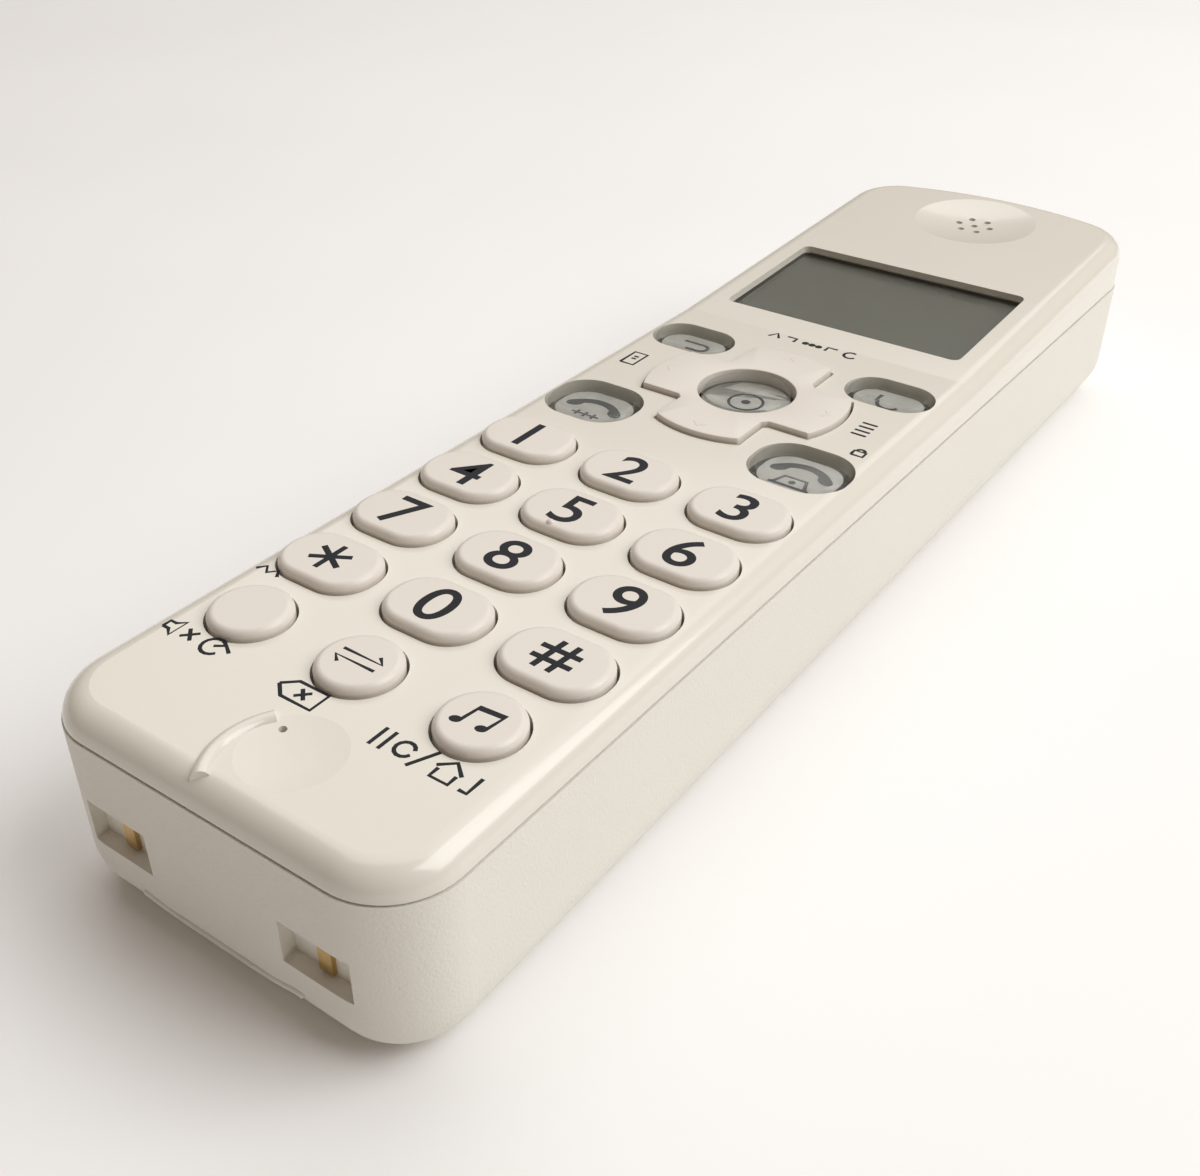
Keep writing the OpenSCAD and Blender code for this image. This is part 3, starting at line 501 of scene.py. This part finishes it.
class HANDSET_OT_digits(bpy.types.Operator):
    """Prints the digits, the star and the hash on the number keys"""
    bl_idname = "handset.digits"
    bl_label = "Digits"

    def execute(self, context):
        sizes = context.scene.handset_sizes
        ink = MATERIALS["legend_ink"]
        for key in NUMBER_KEYS:
            sign = key.split("_")[1]
            if sign.isdigit():
                written("legend_" + sign, sign, key, sizes.digit_height, ink)
        at = on_top("key_star")
        tips = [arc(0, 0, 2.3, angle, angle, 1)[0] for angle in range(30, 390, 60)]
        rays = [stroke([(0, 0), tip], 0.68, at) for tip in tips]
        finish_piece(join("legend_star", rays), "key_star", ink)
        five = on_top("key_5")
        bpy.ops.object.select_all(action="DESELECT")
        bpy.ops.mesh.primitive_uv_sphere_add(segments=24, ring_count=12, radius=0.5 * MM,
                                             location=five + Vector((-0.4, -3.3, -0.2)) * MM)
        bpy.ops.object.shade_smooth()
        dot = settle(active("key_5_dot"))
        finish_piece(dot, "key_5", MATERIALS["key_plastic"])
        at = on_top("key_hash")
        bars = [stroke([(-2.3, y), (2.3, y)], 0.7, at) for y in (-0.85, 0.85)]
        bars += [stroke([(x - 0.25, -2.35), (x + 0.25, 2.35)], 0.7, at) for x in (-0.85, 0.85)]
        finish_piece(join("legend_hash", bars), "key_hash", ink)
        return {"FINISHED"}


class HANDSET_OT_key_marks(bpy.types.Operator):
    """Prints the generic marks on the round keys and the clear keys"""
    bl_idname = "handset.key_marks"
    bl_label = "Key marks"

    def execute(self, context):
        ink = MATERIALS["legend_ink"]
        blue = MATERIALS["blue_ink"]
        at = on_top("melody_key")
        notes = [stroke([(-1.35, -1.2), (-0.95, 1.25), (1.75, 1.5), (1.35, -0.95)], 0.42, at),
                 stroke([(-0.98, 0.95), (1.7, 1.2)], 0.42, at),
                 blob(-1.75, -1.3, 0.62, 0.46, at, 0.3), blob(0.95, -1.05, 0.62, 0.46, at, 0.3)]
        finish_piece(join("mark_melody", notes), "melody_key", ink)
        at = on_top("round_key_middle")
        swap = [stroke([(-2.4, 0.55), (2.4, 0.55), (1.5, 1.35)], 0.4, at),
                stroke([(2.4, -0.55), (-2.4, -0.55), (-1.5, -1.35)], 0.4, at)]
        finish_piece(join("mark_swap", swap), "round_key_middle", ink)
        self.plate_marks(blue)
        return {"FINISHED"}

    def plate_marks(self, blue):
        """Telephone, hook and ring marks on the silver plates."""
        for node, lift in (("talk_key", 1.0), ("end_key", 1.5)):
            at = on_top(node + "_plate")
            marks = [stroke(arc(0, lift - 3.3, 4.0, 40, 140), 1.15, at),
                     blob(-3.0, lift - 0.95, 1.15, 0.8, at, 0.6), blob(3.0, lift - 0.95, 1.15, 0.8, at, -0.6)]
            if node == "talk_key":
                marks += [stroke([(x, -1.4), (x, -2.6)], 0.4, at) for x in (-1.2, 0, 1.2)]
                marks.append(stroke([(-2.0, -2.0), (2.0, -2.0)], 0.4, at))
            else:
                marks += [stroke([(-2.1, -2.9), (-1.4, -0.9), (1.4, -0.9), (2.1, -2.9)], 0.5, at),
                          stroke([(-2.6, -2.9), (2.6, -2.9)], 0.5, at), blob(0, -1.9, 0.45, 0.45, at)]
            finish_piece(join("mark_" + node, marks), node, blue)
        for node, side in (("soft_key_left", -1), ("soft_key_right", 1)):
            at = on_top(node + "_plate")
            hook = [(-1.6, 1.5), (-1.6, -0.3)] + arc(0.3, -0.3, 1.6, 180, 330, 8) if side > 0 else \
                [(-1.9, 0.9), (1.2, 0.9)] + arc(1.2, -0.1, 1.0, 90, -90, 8) + [(-0.6, -1.1)]
            finish_piece(join("mark_" + node, [stroke(hook, 0.55, at)]), node, blue)
        at = on_top("nav_button_plate")
        ring = [stroke(arc(0, 0, 2.2, 0, 345, 24), 0.4, at, closed=True), blob(0, 0, 0.6, 0.6, at)]
        finish_piece(join("mark_nav_button", ring), "nav_button", blue)


def ring_radius(angle):
    """Reach of the navigator's cross (mm) at an angle in radians."""
    across = max(abs(math.sin(angle)), 1e-6)
    along = max(abs(math.cos(angle)), 1e-6)
    return min(NAV_REACH, max(NAV_HUB, NAV_ARM / across, NAV_ARM / along))


class HANDSET_OT_navigator(bpy.types.Operator):
    """Models the navigator's cross with softly rounded edges"""
    bl_idname = "handset.navigator"
    bl_label = "Navigator"

    def execute(self, context):
        low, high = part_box("nav_pad")
        centre = (low + high) / 2
        corner = math.asin(NAV_ARM / NAV_REACH)
        hub = math.asin(NAV_ARM / NAV_HUB)
        first = [i * corner / 8 for i in range(9)] + [corner + (hub - corner) * i / 3 for i in (1, 2, 3)]
        first += [hub + (math.pi / 4 - hub) * i / 3 for i in (1, 2)]
        quarter = first + [math.pi / 4] + [math.pi / 2 - a for a in reversed(first[1:])]
        angles = [q * math.pi / 2 + a for q in range(4) for a in quarter]
        loops = []
        for reach in (ring_radius, lambda angle: NAV_HOLE):
            bpy.ops.object.select_all(action="DESELECT")
            bpy.ops.mesh.primitive_circle_add(vertices=len(angles), radius=1, fill_type="NOTHING")
            loop = bpy.context.object
            for vertex, angle in zip(loop.data.vertices, angles):
                out = reach(angle) * MM
                vertex.co = (out * math.cos(angle), out * math.sin(angle), 0)
            loops.append(loop)
        bpy.ops.object.select_all(action="DESELECT")
        for loop in loops:
            loop.select_set(True)
        bpy.context.view_layer.objects.active = loops[0]
        bpy.ops.object.join()
        cross = active("nav_cross")
        bpy.ops.object.mode_set(mode="EDIT")
        bpy.ops.mesh.select_all(action="SELECT")
        bpy.ops.mesh.bridge_edge_loops()
        bpy.ops.mesh.select_all(action="SELECT")
        depth = high.z - FACE + NAV_SINK * MM
        bpy.ops.mesh.extrude_region_move(TRANSFORM_OT_translate={"value": (0, 0, -depth)})
        bpy.ops.mesh.select_all(action="SELECT")
        bpy.ops.mesh.remove_doubles(threshold=1e-7)
        bpy.ops.mesh.normals_make_consistent(inside=False)
        bpy.ops.object.mode_set(mode="OBJECT")
        soften(cross, NAV_ROUND * MM, 5)
        cross.location = (centre.x, centre.y, high.z)
        settle(cross)
        bpy.ops.object.shade_smooth_by_angle(angle=math.radians(50))
        finish_piece(cross, "nav_pad", MATERIALS["key_plastic"])
        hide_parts("nav_pad")
        return {"FINISHED"}


class HANDSET_OT_cover_rib(bpy.types.Operator):
    """Models the curved finger rib on the battery cover's end"""
    bl_idname = "handset.cover_rib"
    bl_label = "Cover rib"

    def execute(self, context):
        bpy.ops.object.select_all(action="DESELECT")
        bpy.ops.curve.primitive_nurbs_path_add(location=(0, 0, 0))
        rib = bpy.context.object
        rib.data.splines.clear()
        spline = rib.data.splines.new("NURBS")
        spline.points.add(len(RIB_LINE) - 1)
        for knot, (x, z) in zip(spline.points, RIB_LINE):
            y = END_Y - math.sqrt(END_EDGE_R ** 2 - (END_EDGE_R - z) ** 2) + RIB_SINK
            knot.co = (x * MM, y * MM, z * MM, 1)
        spline.use_endpoint_u = True
        spline.order_u = 4
        rib.data.bevel_depth = RIB_R * MM
        rib.data.bevel_resolution = 5
        rib.data.use_fill_caps = True
        rib = to_mesh(rib)
        rib.name = "cover_finger_rib"
        settle(rib)
        bpy.ops.object.shade_smooth_by_angle(angle=math.radians(60))
        finish_piece(rib, "battery_cover", MATERIALS["rear_plastic"])
        return {"FINISHED"}


# Marks on the face: name, place, lines and dots (all in millimetres)
FACE_MARKS = [
    ("mark_tone", -19.0, -61.2, [[(-1.5, -0.3), (-0.8, 0.6), (0, -0.3), (0.8, 0.6), (1.5, -0.3)]], []),
    ("mark_refuse", -15.9, -73.3,
     [[(-4.3, -0.5), (-3.5, -0.5), (-2.7, -1.2), (-2.7, 1.2), (-3.5, 0.5), (-4.3, 0.5), (-4.3, -0.5)],
      [(-1.7, 0.7), (-0.3, -0.7)], [(-1.7, -0.7), (-0.3, 0.7)],
      arc(2.2, 0, 1.2, 40, 330, 12), [(2.2, 0.1), (3.2, 0.8), (4.3, 0.1)]], []),
    ("mark_clear", -1.9, -73.5,
     [[(-2.6, 0), (-1.2, 1.25), (2.5, 1.25), (2.5, -1.25), (-1.2, -1.25), (-2.6, 0)],
      [(-0.2, 0.6), (1.0, -0.6)], [(-0.2, -0.6), (1.0, 0.6)]], []),
    ("mark_hold", 13.3, -73.7,
     [[(-5.4, -1.3), (-5.4, 1.3)], [(-4.3, -1.3), (-4.3, 1.3)],
      arc(-2.3, 0, 0.95, 20, 340, 12), [(-0.9, -1.5), (0.5, 1.5)],
      [(1.2, 0.1), (2.6, 1.3), (4.0, 0.1)], [(1.6, -0.1), (1.6, -1.3), (3.6, -1.3), (3.6, -0.1)],
      [(4.7, -1.2), (5.6, -1.2), (5.6, 1.0)]], []),
    ("mark_book", -17.7, 3.2,
     [[(-1.0, -1.8), (-1.0, 1.8), (1.0, 1.8), (1.0, -1.8), (-1.0, -1.8)],
      [(-0.35, 0.6), (0.35, 0.6)], [(-0.35, -0.1), (0.35, -0.1)]], []),
    ("mark_list", 16.4, 2.8, [[(-1.0, y), (1.0, y)] for y in (1.6, 0.55, -0.55, -1.6)], []),
    ("mark_lock", 18.6, -2.8,
     [[(-0.75, -0.9), (0.75, -0.9), (0.75, 0.2), (-0.75, 0.2), (-0.75, -0.9)],
      arc(0, 0.25, 0.5, 0, 180)], []),
    ("mark_menu", -0.5, 20.9,
     [[(-6.4, -0.7), (-5.6, 0.7), (-4.8, -0.7)], [(-4.0, 0.6), (-2.6, 0.6), (-2.6, -0.6)],
      [(2.2, -0.6), (2.2, 0.6), (3.6, 0.6)], arc(5.8, 0, 0.9, 60, 330, 10)],
     [(-1.0, 0, 0.5), (0, 0, 0.5), (1.0, 0, 0.5)]),
]


class HANDSET_OT_panel_marks(bpy.types.Operator):
    """Prints the small generic marks on the front cover and the navigator"""
    bl_idname = "handset.panel_marks"
    bl_label = "Panel marks"

    def execute(self, context):
        ink = MATERIALS["legend_ink"]
        line = context.scene.handset_sizes.mark_width / MM

        def mark(name, x, y, lines, dots=(), z=FACE, body="handset", paint=ink):
            at = (x * MM, y * MM, z)
            parts = [stroke(points, line, at) for points in lines]
            parts += [blob(dx, dy, r, r, at) for dx, dy, r in dots]
            finish_piece(join(name, parts), body, paint)

        for name, x, y, lines, dots in FACE_MARKS:
            mark(name, x, y, lines, dots)
        nav = centre_of("nav_pad")
        top = top_of("nav_pad")
        for name, dx, dy in (("up", 0, 11.3), ("down", 0, -11.3), ("left", -11.3, 0), ("right", 11.3, 0)):
            ux, uy = (0, 1 if dy > 0 else -1) if dx == 0 else (1 if dx > 0 else -1, 0)
            tip = [(-0.8 * uy - 0.35 * ux, -0.8 * ux - 0.35 * uy), (0.45 * ux, 0.45 * uy),
                   (0.8 * uy - 0.35 * ux, 0.8 * ux - 0.35 * uy)]
            mark("mark_nav_" + name, nav.x / MM + dx, nav.y / MM + dy, [tip], z=top,
                 body="nav_pad", paint=MATERIALS["key_plastic"])
        return {"FINISHED"}


class HANDSET_OT_stage(bpy.types.Operator):
    """Sets up the floor, the lights and the camera"""
    bl_idname = "handset.stage"
    bl_label = "Studio"

    def execute(self, context):
        sizes = context.scene.handset_sizes
        bpy.ops.object.select_all(action="DESELECT")
        bpy.ops.mesh.primitive_plane_add(size=FLOOR_SIZE, location=(0, 0, 0))
        floor = active("floor")
        material, tree, shader, place = base_material("pale floor")
        cloud = noise(tree, place, 12.0, 2.0)
        clouds = spread(tree, cloud, 0.3, 0.7, 0.0, 1.0)
        colour = mix_colour(tree, clouds, (0.95, 0.95, 0.95, 1), (0.97, 0.97, 0.97, 1))
        link(tree, colour, shader.inputs["Base Color"])
        shader.inputs["Roughness"].default_value = 0.6
        floor.data.materials.append(material)
        world = bpy.data.worlds.new("studio")
        world.use_nodes = True
        background = world.node_tree.nodes["Background"]
        background.inputs["Color"].default_value = WORLD_COLOUR
        background.inputs["Strength"].default_value = WORLD_STRENGTH
        context.scene.world = world
        context.scene.view_settings.view_transform = "Standard"
        self.lamp("main light", power=sizes.key_light, **MAIN_LIGHT)
        self.lamp("ceiling light", power=CEILING_SHARE * sizes.key_light, **CEILING_LIGHT)
        self.camera(context, sizes)
        return {"FINISHED"}

    def lamp(self, name, place, target, size, power):
        bpy.ops.object.light_add(type="AREA", location=place)
        light = bpy.context.object
        light.name = name
        light.data.size = size
        light.data.energy = power
        light.rotation_euler = (Vector(target) - Vector(place)).to_track_quat("-Z", "Y").to_euler()

    def camera(self, context, sizes):
        bpy.ops.object.camera_add(location=CAMERA_PLACE)
        camera = bpy.context.object
        camera.rotation_euler = [math.radians(a) for a in CAMERA_TURN]
        camera.data.sensor_width = 36.0
        camera.data.lens = sizes.camera_lens
        camera.data.clip_start = 0.01
        context.scene.camera = camera


class HANDSET_PT_panel(bpy.types.Panel):
    """Lists the sizes, the colours and the steps"""
    bl_label = "Phone handset"
    bl_idname = "HANDSET_PT_panel"
    bl_space_type = "VIEW_3D"
    bl_region_type = "UI"
    bl_category = "Handset"

    def draw(self, context):
        for settings in (context.scene.handset_colours, context.scene.handset_sizes):
            for name in settings.bl_rna.properties.keys():
                if name not in ("rna_type", "name"):
                    self.layout.prop(settings, name)
        for step in STEPS:
            self.layout.operator(step.bl_idname)


STEPS = [HANDSET_OT_finishes, HANDSET_OT_navigator, HANDSET_OT_cover_rib, HANDSET_OT_digits,
         HANDSET_OT_key_marks, HANDSET_OT_panel_marks, HANDSET_OT_stage]
CLASSES = [HandsetColours, HandsetSizes, *STEPS, HANDSET_PT_panel]


def register():
    for entry in CLASSES:
        bpy.utils.register_class(entry)
    bpy.types.Scene.handset_colours = PointerProperty(type=HandsetColours)
    bpy.types.Scene.handset_sizes = PointerProperty(type=HandsetSizes)


def unregister():
    del bpy.types.Scene.handset_sizes
    del bpy.types.Scene.handset_colours
    for entry in reversed(CLASSES):
        bpy.utils.unregister_class(entry)


def main():
    register()
    bpy.ops.handset.finishes()
    bpy.ops.handset.navigator()
    bpy.ops.handset.cover_rib()
    bpy.ops.handset.digits()
    bpy.ops.handset.key_marks()
    bpy.ops.handset.panel_marks()
    bpy.ops.handset.stage()


if __name__ == "__main__":
    main()
